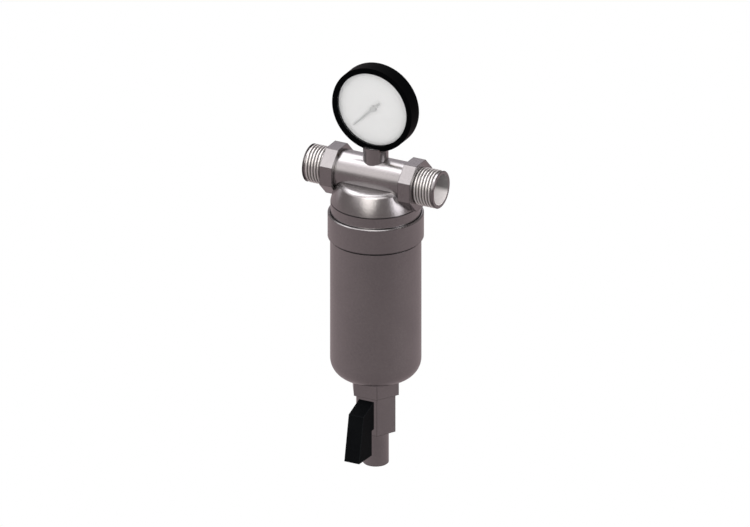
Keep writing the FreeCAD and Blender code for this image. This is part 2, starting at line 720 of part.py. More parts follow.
# Drain lever: a moulded wedge with a square socket, hollow at the back of its grip
def make_drain_lever():
    lever = body("drain_lever")
    side = sketch(lever, "lever_side", "YZ_Plane")
    step = f"-({VALVE_FRONT} + lever_heel_reach)"
    outline(side, [
        (f"-({LEVER_BACK})", "lever_top_rise"),
        (f"-({VALVE_FRONT} + lever_knee_reach)", "lever_knee_rise"),
        (f"-({VALVE_FRONT} + lever_tip_reach)", "-lever_tip_drop"),
        (step, "-lever_heel_drop"), (step, "-lever_step_drop"),
        (f"-({LEVER_BACK})", "-lever_step_drop")])
    pad(lever, "lever_form", side, "lever_width", both_ways=True)
    # the hollow keeps the wall thickness behind the sloping front face
    slope = "(lever_tip_reach - lever_knee_reach) / (lever_tip_drop + lever_knee_rise)"
    top, bottom = "lever_step_drop + lever_wall", "lever_tip_drop - lever_wall"
    reach = f"{VALVE_FRONT} + lever_knee_reach - lever_wall"
    hollow = sketch(lever, "lever_hollow_side", "YZ_Plane")
    outline(hollow, [
        (f"{step} + overcut", f"-({top})"),
        (f"-({reach} + {slope} * (lever_knee_rise + {top}))", f"-({top})"),
        (f"-({reach} + {slope} * (lever_knee_rise + {bottom}))", f"-({bottom})"),
        (f"{step} + overcut", f"-({bottom})")])
    pocket(lever, "lever_hollow", hollow, "lever_width - 2 * lever_wall", both_ways=True)
    half = "(stem_square / 2 + lever_socket_gap)"
    square = sketch(lever, "lever_square")
    outline(square, [(f"-{half}", f"-{half}"), (half, f"-{half}"), (half, half), (f"-{half}", half)])
    pocket(lever, "lever_socket", square, "stem_reach + lever_socket_gap", backwards=True)
    screw_hole = sketch(lever, "lever_screw_hole", "XY_Plane")
    circle(screw_hole, "set_screw_radius + thread_gap",
           y=f"-({LEVER_BACK} + {VALVE_FRONT} + lever_heel_reach) / 2")
    pocket(lever, "lever_tapping", screw_hole, "lever_step_drop + overcut")
    return under_head(lever, Z_BALL)


def make_lever_set_screw():
    length = "set_screw_length"
    screw = cut("lever_set_screw", cylinder("set_screw_form", "set_screw_radius", length),
                prism("set_screw_socket", 6, "set_screw_key", f"{length} / 2"))
    y = f"-({LEVER_BACK} + {VALVE_FRONT} + lever_heel_reach) / 2"
    return put(screw, BOWL_AXIS, y, f"{Z_BALL} - stem_square / 2 - {length}")


# Gauge, drawn with X across, Y up the dial and Z towards the front
CASE_BORE = "(gauge_radius - case_wall)"
RIM_RADIUS = f"({CASE_BORE} + rim_wall)"
RIM_HEIGHT = "(gauge_half_depth - bezel_lip - window_thickness)"
DIAL_FRONT = "(dial_height + dial_thickness)"
BACK_INSIDE = "(case_back + fit_gap - gauge_half_depth)"
BACK_PLATE = f"({BACK_INSIDE} + tongue_thickness)"
TIP_PIN_X = "(tip_pin_reach * cos(tube_tip_angle) + tip_block / 2 * sin(tube_tip_angle))"
TIP_PIN_Y = "(tip_pin_reach * sin(tube_tip_angle) - tip_block / 2 * cos(tube_tip_angle))"
TAIL_X = f"({PIVOT_X} + tail_length * cos(sector_turn / 2))"
TAIL_Y = f"({PIVOT_Y} - tail_length * sin(sector_turn / 2))"
DOWN = FreeCAD.Rotation(FreeCAD.Vector(1, 0, 0), 90)


def make_gauge_case():
    case = body("gauge_case")
    rim_start = "gauge_half_depth - bezel_depth"
    inside = "case_back - gauge_half_depth"
    revolve(case, "case_cup", [
        ("0", "-gauge_half_depth"), ("gauge_radius", "-gauge_half_depth"),
        ("gauge_radius", rim_start), (RIM_RADIUS, rim_start), (RIM_RADIUS, RIM_HEIGHT),
        (CASE_BORE, RIM_HEIGHT), (CASE_BORE, "dial_height"),
        (f"{CASE_BORE} - case_ledge", "dial_height"), (f"{CASE_BORE} - case_ledge", inside),
        ("0", inside)])
    round_edges(case, "case_back_edge", "case_rounding",
                is_circle("gauge_radius", "-gauge_half_depth"))
    hole = sketch(case, "case_hole")
    circle(hole, "socket_neck + fit_gap")
    pocket(case, "case_opening", hole, "gauge_radius + overcut", backwards=True)
    return in_gauge(case)


def make_gauge_bezel():
    back = "gauge_half_depth - bezel_depth"
    inner = f"{RIM_RADIUS} + thread_gap"
    lip = "gauge_half_depth - bezel_lip"
    return in_gauge(turned("gauge_bezel", [
        (inner, back), ("gauge_radius", back), ("gauge_radius", "gauge_half_depth"),
        ("gauge_radius - bezel_face", "gauge_half_depth"), ("gauge_radius - bezel_face", lip),
        (inner, lip)]))


def make_disc(name, inner, outer, low, high):
    return in_gauge(turned(name, [(inner, low), (outer, low), (outer, high), (inner, high)]))


def make_gauge_window():
    return make_disc("gauge_window", "0", f"{RIM_RADIUS} - fit_gap",
                     RIM_HEIGHT, f"{RIM_HEIGHT} + window_thickness")


def make_dial_spacer():
    return make_disc("dial_spacer", "gauge_radius - bezel_face + spacer_setback", f"{CASE_BORE} - fit_gap",
                     DIAL_FRONT, RIM_HEIGHT)


def make_dial_plate():
    return make_disc("dial_plate", "dial_hole", f"{CASE_BORE} - fit_gap",
                     "dial_height", DIAL_FRONT)


def make_pointer():
    pointer = body("pointer")
    blade = sketch(pointer, "pointer_blade", "XY_Plane", "pointer_height")
    outline(blade, [
        ("-pointer_half_width", "-pointer_tail"), ("pointer_half_width", "-pointer_tail"),
        ("pointer_half_width", "0"), ("pointer_tip_half", "pointer_reach"),
        ("-pointer_tip_half", "pointer_reach"), ("-pointer_half_width", "0")])
    pad(pointer, "pointer_form", blade, "pointer_thickness")
    disc = sketch(pointer, "pointer_disc", "XY_Plane", f"{DIAL_FRONT} + fit_gap")
    circle(disc, "pointer_hub")
    pad(pointer, "pointer_boss", disc,
        f"pointer_height + pointer_thickness + pointer_cap - {DIAL_FRONT} - fit_gap")
    hole = sketch(pointer, "pointer_hole", "XY_Plane", "pointer_height + pointer_thickness")
    circle(hole, "arbor_radius")
    pocket(pointer, "pointer_bore", hole, "gauge_half_depth")
    return in_gauge(pointer, number("pointer_zero"))


# Gauge movement: flattened C tube, link, toothed sector and pinion between two plates
def tube_section(owner, name, margin, hollow):
    section = sketch(owner, name)
    spread = "(tube_width - tube_thickness) / 2"
    low, high = f"tube_height - {spread}", f"tube_height + {spread}"
    round_slot(section, f"tube_thickness / 2 + {margin}", "tube_mid_radius", low, high)
    if hollow:
        round_slot(section, "tube_thickness / 2 - tube_skin", "tube_mid_radius", low, high)
    return section


def revolved_section(owner, name, section, angle):
    solid = owner.newObject("PartDesign::Revolution", name)
    solid.Profile = section
    solid.ReferenceAxis = (section, ["V_Axis"])
    return bind(solid, Angle=angle)


def make_bourdon_tube():
    tube = body("bourdon_tube")
    revolved_section(tube, "tube_form", tube_section(tube, "tube_section", "0", True), "tube_sweep")
    return in_gauge(tube, number("tube_tip_angle"))


def make_tube_root_form():
    # room in the socket for the last few degrees of the tube
    root = body("tube_root_form")
    section = tube_section(root, "root_section", "thread_gap", False)
    revolved_section(root, "root_form", section, "tube_root_turn")
    spin = number("tube_tip_angle + tube_sweep - tube_root_turn")
    return put(root, turn=FreeCAD.Rotation(FreeCAD.Vector(0, 0, 1), spin))


def make_gauge_socket():
    # threaded end, neck through the case, block for the tube and a tongue under the movement
    thread = cylinder("socket_thread", "gauge_thread", "gauge_thread_length - gauge_gap",
                      y="-gauge_radius - gauge_gap", turn=DOWN)
    neck = cylinder("socket_neck_form", "socket_neck", "gauge_gap + case_wall - fit_gap",
                    y=f"-{CASE_BORE} - fit_gap", turn=DOWN)
    stalk = doc.addObject("Part::MultiCommon", "socket_stalk")
    stalk.Shapes = [
        cylinder("stalk_round", "socket_neck", "case_ledge + stalk_foot + overcut",
                 y=f"-{CASE_BORE} + case_ledge + stalk_foot", turn=DOWN),
        block("stalk_flat", "2 * socket_neck", "gauge_radius", "socket_neck - block_front",
              y=f"-{CASE_BORE}", z="-socket_neck")]
    tall = f"({CASE_BORE} - block_top)"
    block_form = block("socket_block", "block_left + block_right", tall,
                       f"-block_front - {BACK_INSIDE}", x="(block_right - block_left) / 2",
                       y=f"-block_top - {tall} / 2", z=BACK_INSIDE)
    tongue = block("socket_tongue", "2 * block_right", "block_top - tongue_drop + overcut",
                   "tongue_thickness", y="-(block_top + tongue_drop + overcut) / 2", z=BACK_INSIDE)
    inside = doc.addObject("Part::MultiCommon", "socket_inside")
    inside.Shapes = [
        fuse("socket_inner_form", block_form, tongue),
        cylinder("socket_trim", f"{CASE_BORE} - case_ledge - fit_gap", "2 * gauge_half_depth",
                 z="-gauge_half_depth")]
    feed_height = "-block_front - feed_inset"
    feed = cylinder("socket_feed", "socket_bore",
                    "gauge_radius + gauge_thread_length - block_top - block_roof",
                    y="-block_top - block_roof", z=feed_height, turn=DOWN)
    across = cylinder("socket_cross_bore", "socket_bore / 2", "block_left",
                      y="-block_top - block_roof - socket_bore", z=feed_height,
                      turn=FreeCAD.Rotation(FreeCAD.Vector(0, 1, 0), -90))
    whole = fuse("socket_whole", thread, neck, stalk, inside)
    return in_gauge(cut("gauge_socket", whole, feed, across, make_tube_root_form()))


def make_tube_tip():
    # plug at the tube's end with an arm that carries the link's pin
    plug = block("tip_plug", "tube_thickness + 2 * fit_gap", "tip_block",
                 "tube_width + 2 * fit_gap", x="tube_mid_radius", y="-tip_block / 2",
                 z="tube_height - tube_width / 2 - fit_gap")
    reach = "tube_mid_radius - tip_pin_reach"
    arm = block("tip_arm", reach, "tip_block", "tip_arm_thickness",
                x=f"tip_pin_reach + ({reach}) / 2", y="-tip_block / 2", z="tip_arm_height")
    pin = cylinder("tip_pin", "pin_radius", "pin_top - tip_arm_height", x="tip_pin_reach",
                   y="-tip_block / 2", z="tip_arm_height")
    round_end = cylinder("tip_round", "tip_block / 2", "tip_arm_thickness", x="tip_pin_reach",
                         y="-tip_block / 2", z="tip_arm_height")
    return in_gauge(fuse("tube_tip", plug, arm, pin, round_end), number("tube_tip_angle"))


def make_movement_plate(name, height, with_centre_clearance):
    across = "plate_left + plate_right"
    tall = "plate_top + plate_bottom"
    sheet_metal = doc.addObject("Part::MultiCommon", name + "_form")
    sheet_metal.Shapes = [
        block(name + "_blank", across, tall, "plate_thickness", x="(plate_right - plate_left) / 2",
              y="(plate_top - plate_bottom) / 2", z=height),
        cylinder(name + "_limit", "plate_limit", "plate_thickness", z=height)]
    return in_gauge(cut(
        name, sheet_metal,
        cylinder(name + "_centre", with_centre_clearance, "plate_thickness", z=height),
        cylinder(name + "_pivot", "sector_arbor + pivot_gap", "plate_thickness",
                 x=PIVOT_X, y=PIVOT_Y, z=height)))


def make_movement_pillars():
    low = f"{BACK_PLATE} + plate_thickness"
    tall = f"front_plate_height - ({low})"
    places = [("pillar_left", "pillar_high"), ("pillar_left", "-pillar_low"),
              ("pillar_right", "-pillar_low")]
    pillars = doc.addObject("Part::Compound", "movement_pillars")
    pillars.Links = [cylinder(f"pillar_{k}", "pillar_radius", tall, x=x, y=y, z=low)
                     for k, (x, y) in enumerate(places, start=1)]
    return in_gauge(pillars)


def gap_outline(drawing, pitch, slope):
    """Adds the gap between two teeth, centred on X, from its root out past the tips."""
    half = "(pi * tooth_module / 4 + tooth_play)"
    root, outer = f"{pitch} - tooth_root", f"{pitch} + tooth_rise + fit_gap"
    root_half = f"({half} - tooth_root * root_slope)"
    outer_half = f"({half} + (tooth_rise + fit_gap) * {slope})"
    outline(drawing, [(root, f"-{root_half}"), (pitch, f"-{half}"), (outer, f"-{outer_half}"),
                      (outer, outer_half), (pitch, half), (root, root_half)])


def tooth_gaps(owner, name, pitch, slope, count, angle):
    gap = sketch(owner, name + "_outline", "XY_Plane")
    gap_outline(gap, pitch, slope)
    opening = pocket(owner, name, gap, "gauge_half_depth")
    pattern = owner.newObject("PartDesign::PolarPattern", name + "s")
    pattern.Originals = [opening]
    pattern.Axis = (gap, ["N_Axis"])
    bind(pattern, Occurrences=count, Angle=angle)
    owner.Tip = pattern


def make_pinion_arbor():
    arbor = body("pinion_arbor")
    disc = sketch(arbor, "pinion_disc", "XY_Plane", "sector_height - fit_gap")
    circle(disc, f"{PINION_PITCH} + tooth_rise")
    pad(arbor, "pinion_blank", disc, "sector_thickness + 2 * fit_gap")
    tooth_gaps(arbor, "pinion_gap", PINION_PITCH, "pinion_slope", "pinion_teeth", "360")
    rod = sketch(arbor, "arbor_round", "XY_Plane", BACK_PLATE)
    circle(rod, "arbor_radius")
    pad(arbor, "arbor_rod", rod, f"pointer_height + pointer_thickness - {BACK_PLATE}")
    return in_gauge(arbor, number("pivot_angle - 180 / pinion_teeth"))


def pie(owner, kind, name, radius, height, thickness, angle, spin=0.0):
    """A sector of a disc, added to the body or cut from it."""
    solid = owner.newObject(f"PartDesign::{kind}Cylinder", name)
    bind(solid, Radius=radius, Height=thickness, Angle=angle)
    return put(solid, z=height, turn=FreeCAD.Rotation(FreeCAD.Vector(0, 0, 1), spin))


def make_sector_gear():
    sector = body("sector_gear")
    step = "(360 / (pinion_teeth * sector_ratio))"
    sweep = f"sector_teeth * {step}"
    pie(sector, "Additive", "sector_blank", f"{SECTOR_PITCH} + tooth_rise", "sector_height",
        "sector_thickness", sweep)
    tooth_gaps(sector, "sector_gap", SECTOR_PITCH, "sector_slope", "sector_teeth + 1", sweep)
    arm = f"sector_arm * {step}"
    pie(sector, "Subtractive", "sector_window", f"{SECTOR_PITCH} - sector_rim", "sector_height",
        "sector_thickness", f"{sweep} - 2 * {arm}", number(arm))
    start = f"(180 + pivot_angle - sector_lead * {step})"
    tail_angle = f"(-sector_turn / 2 - {start})"
    across = [(f"{reach} * cos{tail_angle} - {side} * sin{tail_angle}",
               f"{reach} * sin{tail_angle} + {side} * cos{tail_angle}")
              for reach, side in (("0", "(-tail_width / 2)"), ("tail_length", "(-tail_width / 2)"),
                                  ("tail_length", "(tail_width / 2)"), ("0", "(tail_width / 2)"))]
    tail = sketch(sector, "sector_tail_outline", "XY_Plane", "sector_height")
    outline(tail, across)
    pad(sector, "sector_tail", tail, "sector_thickness")
    end = (f"tail_length * cos{tail_angle}", f"tail_length * sin{tail_angle}")
    rounds = [("sector_boss", "sector_hub", "0", "0", "sector_height", "sector_height + sector_thickness"),
              ("tail_end", "tail_width / 2", *end, "sector_height", "sector_height + sector_thickness"),
              ("tail_pin", "pin_radius", *end, "sector_height", "pin_top"),
              ("sector_rod", "sector_arbor", "0", "0", BACK_PLATE, "front_plate_height + plate_thickness")]
    for name, radius, x, y, low, high in rounds:
        drawing = sketch(sector, name + "_outline", "XY_Plane", low)
        circle(drawing, radius, x, y)
        pad(sector, name, drawing, f"{high} - ({low})")
    return in_gauge(sector, number(start), PIVOT_X, PIVOT_Y)


def make_tip_link():
    link = body("tip_link")
    form = sketch(link, "link_outline", "XY_Plane", "link_height")
    slot_x = f"({TIP_PIN_X} - {TAIL_X} - tail_length * (1 - cos(sector_turn / 2)) / 2)"
    slot_end = f"({TIP_PIN_Y} - {TAIL_Y})"
    slot_start = f"({slot_end} - 2 * tail_length * sin(sector_turn / 2))"
    round_slot(form, "link_half_width", slot_x, "0", slot_end)
    circle(form, "pin_radius + pivot_gap")
    round_slot(form, "pin_radius + link_slot_play", slot_x, slot_start, slot_end)
    pad(link, "link_form", form, "link_thickness")
    return in_gauge(link, 0, TAIL_X, TAIL_Y)


def make_all():
    parts = [
        make_head_body(), make_ring_nut(), make_bowl_seal(), make_bowl(),
        make_screen_cage(), make_screen_mesh(), make_screen_seal(),
        make_valve_body(), make_valve_gasket(), make_ball(),
        make_seat("upper_seat", "seat_reach - seat_height"), make_seat("lower_seat", "-seat_reach"),
        make_valve_end(), make_valve_stem(), make_stem_seal(),
        make_drain_lever(), make_lever_set_screw(),
        make_gauge_socket(), make_gauge_case(), make_gauge_bezel(), make_gauge_window(),
        make_dial_spacer(), make_dial_plate(), make_pointer(),
        make_bourdon_tube(), make_tube_tip(), make_tip_link(), make_sector_gear(),
        make_pinion_arbor(),
        make_movement_plate("movement_back_plate", BACK_PLATE, "arbor_radius + pivot_gap"),
        make_movement_plate("movement_front_plate", "front_plate_height", "arbor_radius + pivot_gap"),
        make_movement_pillars()]
    doc.recompute()
    return parts


def check(parts):
    for thing in doc.Objects:
        if "Invalid" in thing.State or "Error" in thing.State:
            raise RuntimeError(f"{thing.Name} did not recompute: {thing.State}")
    for part in parts:
        if part.Shape.isNull() or not part.Shape.isValid():
            raise RuntimeError(f"{part.Label} has no valid shape")


parts = make_all()
check(parts)
os.makedirs("parts", exist_ok=True)
for part in parts:
    part.Shape.exportStep(f"parts/{part.Label}.step")
print(f"{len(parts)} sub-parts written")
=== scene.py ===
import json
import math

import bmesh
import bpy
from mathutils import Matrix, Vector


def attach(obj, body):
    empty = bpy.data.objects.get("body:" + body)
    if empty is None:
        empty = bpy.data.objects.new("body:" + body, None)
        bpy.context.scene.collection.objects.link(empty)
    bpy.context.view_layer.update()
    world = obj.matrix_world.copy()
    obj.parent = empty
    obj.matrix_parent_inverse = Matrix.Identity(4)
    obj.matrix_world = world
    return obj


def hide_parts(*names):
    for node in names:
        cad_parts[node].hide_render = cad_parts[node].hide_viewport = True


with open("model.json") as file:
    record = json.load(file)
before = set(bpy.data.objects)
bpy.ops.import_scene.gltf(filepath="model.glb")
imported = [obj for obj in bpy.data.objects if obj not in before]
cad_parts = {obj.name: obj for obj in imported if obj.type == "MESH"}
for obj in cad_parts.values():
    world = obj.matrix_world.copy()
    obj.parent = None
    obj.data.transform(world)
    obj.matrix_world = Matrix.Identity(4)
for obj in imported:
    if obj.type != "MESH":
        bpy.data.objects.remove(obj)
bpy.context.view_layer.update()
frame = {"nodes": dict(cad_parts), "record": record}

scene = bpy.context.scene
nodes = frame["nodes"]
mm = 0.001
print("frame loaded,", len(nodes), "nodes")


# camera, at the angle of the photo
camera = {
    "turn": 27.3,                      # degrees to the right of straight in front
    "height": 24.2,                    # degrees above level
    "viewWidth": 0.51,                 # metres across the picture
    "distance": 1.6,
    "clipEnd": 20,
    "imageWidth": 750,
    "imageHeight": 527,
    "pipeMiddle": (0.05, 0.0, 0.0),    # where the pipe's axis meets the bowl's axis
    "pipeMiddleAt": (375.77, 176.1),   # the pixel of that point
}


def makeCamera(c):
    turn, height = math.radians(c["turn"]), math.radians(c["height"])
    right = Vector((math.cos(turn), math.sin(turn), 0))
    up = Vector((-math.sin(turn) * math.sin(height), math.cos(turn) * math.sin(height), math.cos(height)))
    back = right.cross(up)
    metresPerPixel = c["viewWidth"] / c["imageWidth"]
    across = (c["pipeMiddleAt"][0] - c["imageWidth"] / 2) * metresPerPixel
    above = (c["imageHeight"] / 2 - c["pipeMiddleAt"][1]) * metresPerPixel
    centre = Vector(c["pipeMiddle"]) - right * across - up * above
    data = bpy.data.cameras.new("camera")
    data.type = "ORTHO"
    data.ortho_scale = c["viewWidth"]
    data.clip_end = c["clipEnd"]
    cameraObject = bpy.data.objects.new("camera", data)
    turned = Matrix((right, up, back)).transposed().to_4x4()
    cameraObject.matrix_world = Matrix.Translation(centre + back * c["distance"]) @ turned
    scene.collection.objects.link(cameraObject)
    scene.camera = cameraObject


makeCamera(camera)
scene.view_settings.view_transform = "Standard"
print("camera placed")


# helpers for node trees; a value is a number, a tuple or the output of another node
def feed(tree, socket, value):
    if isinstance(value, bpy.types.NodeSocket):
        tree.links.new(value, socket)
    elif socket.type == "RGBA":
        socket.default_value = (*value, 1)
    else:
        socket.default_value = value


def addNode(tree, kind, **values):
    node = tree.nodes.new(kind)
    for key, value in values.items():
        if hasattr(node, key):
            setattr(node, key, value)
        else:
            feed(tree, node.inputs[key.replace("_", " ")], value)
    return node


def mathNode(tree, operation, first, second):
    node = addNode(tree, "ShaderNodeMath", operation=operation)
    feed(tree, node.inputs[0], first)
    feed(tree, node.inputs[1], second)
    return node.outputs[0]


def vectorNode(tree, operation, first, second=None):
    node = addNode(tree, "ShaderNodeVectorMath", operation=operation)
    feed(tree, node.inputs[0], first)
    if second is not None:
        feed(tree, node.inputs[1], second)
    return node.outputs["Value" if operation in ("DOT_PRODUCT", "LENGTH") else "Vector"]


def remap(tree, value, fromMin, fromMax, toMin, toMax, smooth=False):
    node = addNode(tree, "ShaderNodeMapRange", interpolation_type="SMOOTHSTEP" if smooth else "LINEAR",
                   Value=value, From_Min=fromMin, From_Max=fromMax, To_Min=toMin, To_Max=toMax)
    return node.outputs["Result"]


def mixColours(tree, factor, first, second, blend="MIX"):
    mix = addNode(tree, "ShaderNodeMix", data_type="RGBA", blend_type=blend, Factor=factor)
    for name, value in (("A", first), ("B", second)):
        feed(tree, [s for s in mix.inputs if s.name == name and s.type == "RGBA"][0], value)
    return [s for s in mix.outputs if s.type == "RGBA"][0]


def objectPlace(tree):
    return addNode(tree, "ShaderNodeTexCoord").outputs["Object"]


def newMaterial(name):
    material = bpy.data.materials.new(name)
    material.use_nodes = True
    tree = material.node_tree
    return material, tree, tree.nodes["Principled BSDF"]


# light: even for matt surfaces, and a darker room with soft panels for what shines
light = {
    "camera": 1.0,
    "matt": 0.90,
    "shiny": 0.255,
    "shinyTint": (1.0, 0.88, 0.87),
    "panels": [      # azimuth and elevation of the middle, half width and soft edge in degrees
        {"name": "overhead", "azimuth": 150, "elevation": 68, "size": 23, "edge": 11,
         "strength": 2.6, "tint": (1.0, 0.98, 1.0)},
        {"name": "front left above", "azimuth": 243, "elevation": 47, "size": 26, "edge": 9,
         "strength": 0.86, "tint": (1.0, 0.96, 0.96)},
        {"name": "behind above", "azimuth": 117, "elevation": 24, "size": 20, "edge": 20,
         "strength": 0.26, "tint": (1.0, 0.96, 1.08)},
        {"name": "front low", "azimuth": 277, "elevation": 31, "size": 9, "edge": 18,
         "strength": 2.3, "tint": (1.0, 0.96, 0.91)},
        {"name": "front above", "azimuth": 302, "elevation": 54, "size": 12, "edge": 14,
         "strength": 1.6, "tint": (1.0, 0.98, 0.98)},
        {"name": "left above", "azimuth": 195, "elevation": 42, "size": 9, "edge": 12,
         "strength": 1.2, "tint": (1.0, 0.98, 1.0)},
        {"name": "right low", "azimuth": 358, "elevation": 16, "size": 7, "edge": 14,
         "strength": 2.5, "tint": (1.0, 0.97, 1.0)},
        {"name": "left low", "azimuth": 170, "elevation": 4, "size": 6, "edge": 12,
         "strength": 0.7, "tint": (1.0, 0.97, 1.0)},
    ],
    "lamps": [
        {"name": "keyLamp", "at": (-0.6, -1.2, 1.2), "size": 0.9, "power": 4},
        {"name": "fillLamp", "at": (1.25, -0.55, 0.75), "size": 0.8, "power": 10},
    ],
    "lookAt": (0.05, 0.0, -0.06),
}


def makeWorld(l):
    world = bpy.data.worlds.new("studio")
    world.use_nodes = True
    scene.world = world
    tree = world.node_tree
    tree.nodes.clear()
    direction = addNode(tree, "ShaderNodeTexCoord").outputs["Generated"]
    room = tuple(l["shiny"] * share for share in l["shinyTint"])
    for panel in l["panels"]:
        azimuth, elevation = math.radians(panel["azimuth"]), math.radians(panel["elevation"])
        level = math.cos(elevation)
        middle = (math.cos(azimuth) * level, math.sin(azimuth) * level, math.sin(elevation))
        inner = math.cos(math.radians(panel["size"]))
        outer = math.cos(math.radians(panel["size"] + panel["edge"]))
        near = vectorNode(tree, "DOT_PRODUCT", direction, middle)
        glow = remap(tree, near, outer, inner, 0, panel["strength"], smooth=True)
        room = vectorNode(tree, "ADD", vectorNode(tree, "MULTIPLY", panel["tint"], glow), room)
    path = addNode(tree, "ShaderNodeLightPath").outputs
    colour = mixColours(tree, path["Is Glossy Ray"], (l["matt"],) * 3, room)
    colour = mixColours(tree, path["Is Camera Ray"], colour, (l["camera"],) * 3)
    background = addNode(tree, "ShaderNodeBackground", Color=colour)
    addNode(tree, "ShaderNodeOutputWorld", Surface=background.outputs[0])


def makeLamps(l):
    for lamp in l["lamps"]:
        data = bpy.data.lights.new(lamp["name"], "AREA")
        data.shape = "DISK"
        data.size = lamp["size"]
        data.energy = lamp["power"]
        lampObject = bpy.data.objects.new(lamp["name"], data)
        lampObject.location = lamp["at"]
        lampObject.visible_glossy = False
        towards = Vector(l["lookAt"]) - Vector(lamp["at"])
        lampObject.rotation_euler = towards.to_track_quat("-Z", "Y").to_euler()
        scene.collection.objects.link(lampObject)


floor = {
    "height": -0.2135,                 # just under the drain pipe
    "size": 12,
    "middle": (0.05, 0.0),
    "colour": (0.85, 0.85, 0.85),
    "roughness": 0.9,
    "shinyTint": (1.0, 0.83, 0.85),    # colour and levels that the metal mirrors
    "bright": 0.41,
    "dark": 0.255,
    "darkSide": -57,                   # degrees
    "brightUpTo": -0.85,               # cosine from that side up to which it stays bright
}


def makeFloor(f):
    half, height = f["size"] / 2, f["height"]
    corners = [(-half, -half, height), (half, -half, height), (half, half, height), (-half, half, height)]
    mesh = bpy.data.meshes.new("floor")
    mesh.from_pydata(corners, [], [(0, 1, 2, 3)])
    floorObject = bpy.data.objects.new("floor", mesh)
    scene.collection.objects.link(floorObject)
    material, tree, shader = newMaterial("paleFloor")
    feed(tree, shader.inputs["Base Color"], f["colour"])
    feed(tree, shader.inputs["Roughness"], f["roughness"])
    outwards = vectorNode(tree, "SUBTRACT", objectPlace(tree), (*f["middle"], height))
    darkSide = math.radians(f["darkSide"])
    side = vectorNode(tree, "DOT_PRODUCT", vectorNode(tree, "NORMALIZE", outwards),
                      (math.cos(darkSide), math.sin(darkSide), 0))
    level = remap(tree, side, f["brightUpTo"], 1, f["bright"], f["dark"])
    mirrored = vectorNode(tree, "MULTIPLY", f["shinyTint"], level)
    path = addNode(tree, "ShaderNodeLightPath").outputs
    colour = mixColours(tree, path["Is Glossy Ray"], (1, 1, 1), mirrored)
    white = addNode(tree, "ShaderNodeEmission", Color=colour)
    seen = mathNode(tree, "MAXIMUM", path["Is Camera Ray"], path["Is Glossy Ray"])
    seen = mathNode(tree, "MAXIMUM", seen, path["Is Transmission Ray"])
    mix = addNode(tree, "ShaderNodeMixShader", Fac=seen)
    feed(tree, mix.inputs[1], shader.outputs[0])
    feed(tree, mix.inputs[2], white.outputs[0])
    feed(tree, tree.nodes["Material Output"].inputs["Surface"], mix.outputs[0])
    mesh.materials.append(material)


makeWorld(light)
makeLamps(light)
makeFloor(floor)
print("light and floor ready")


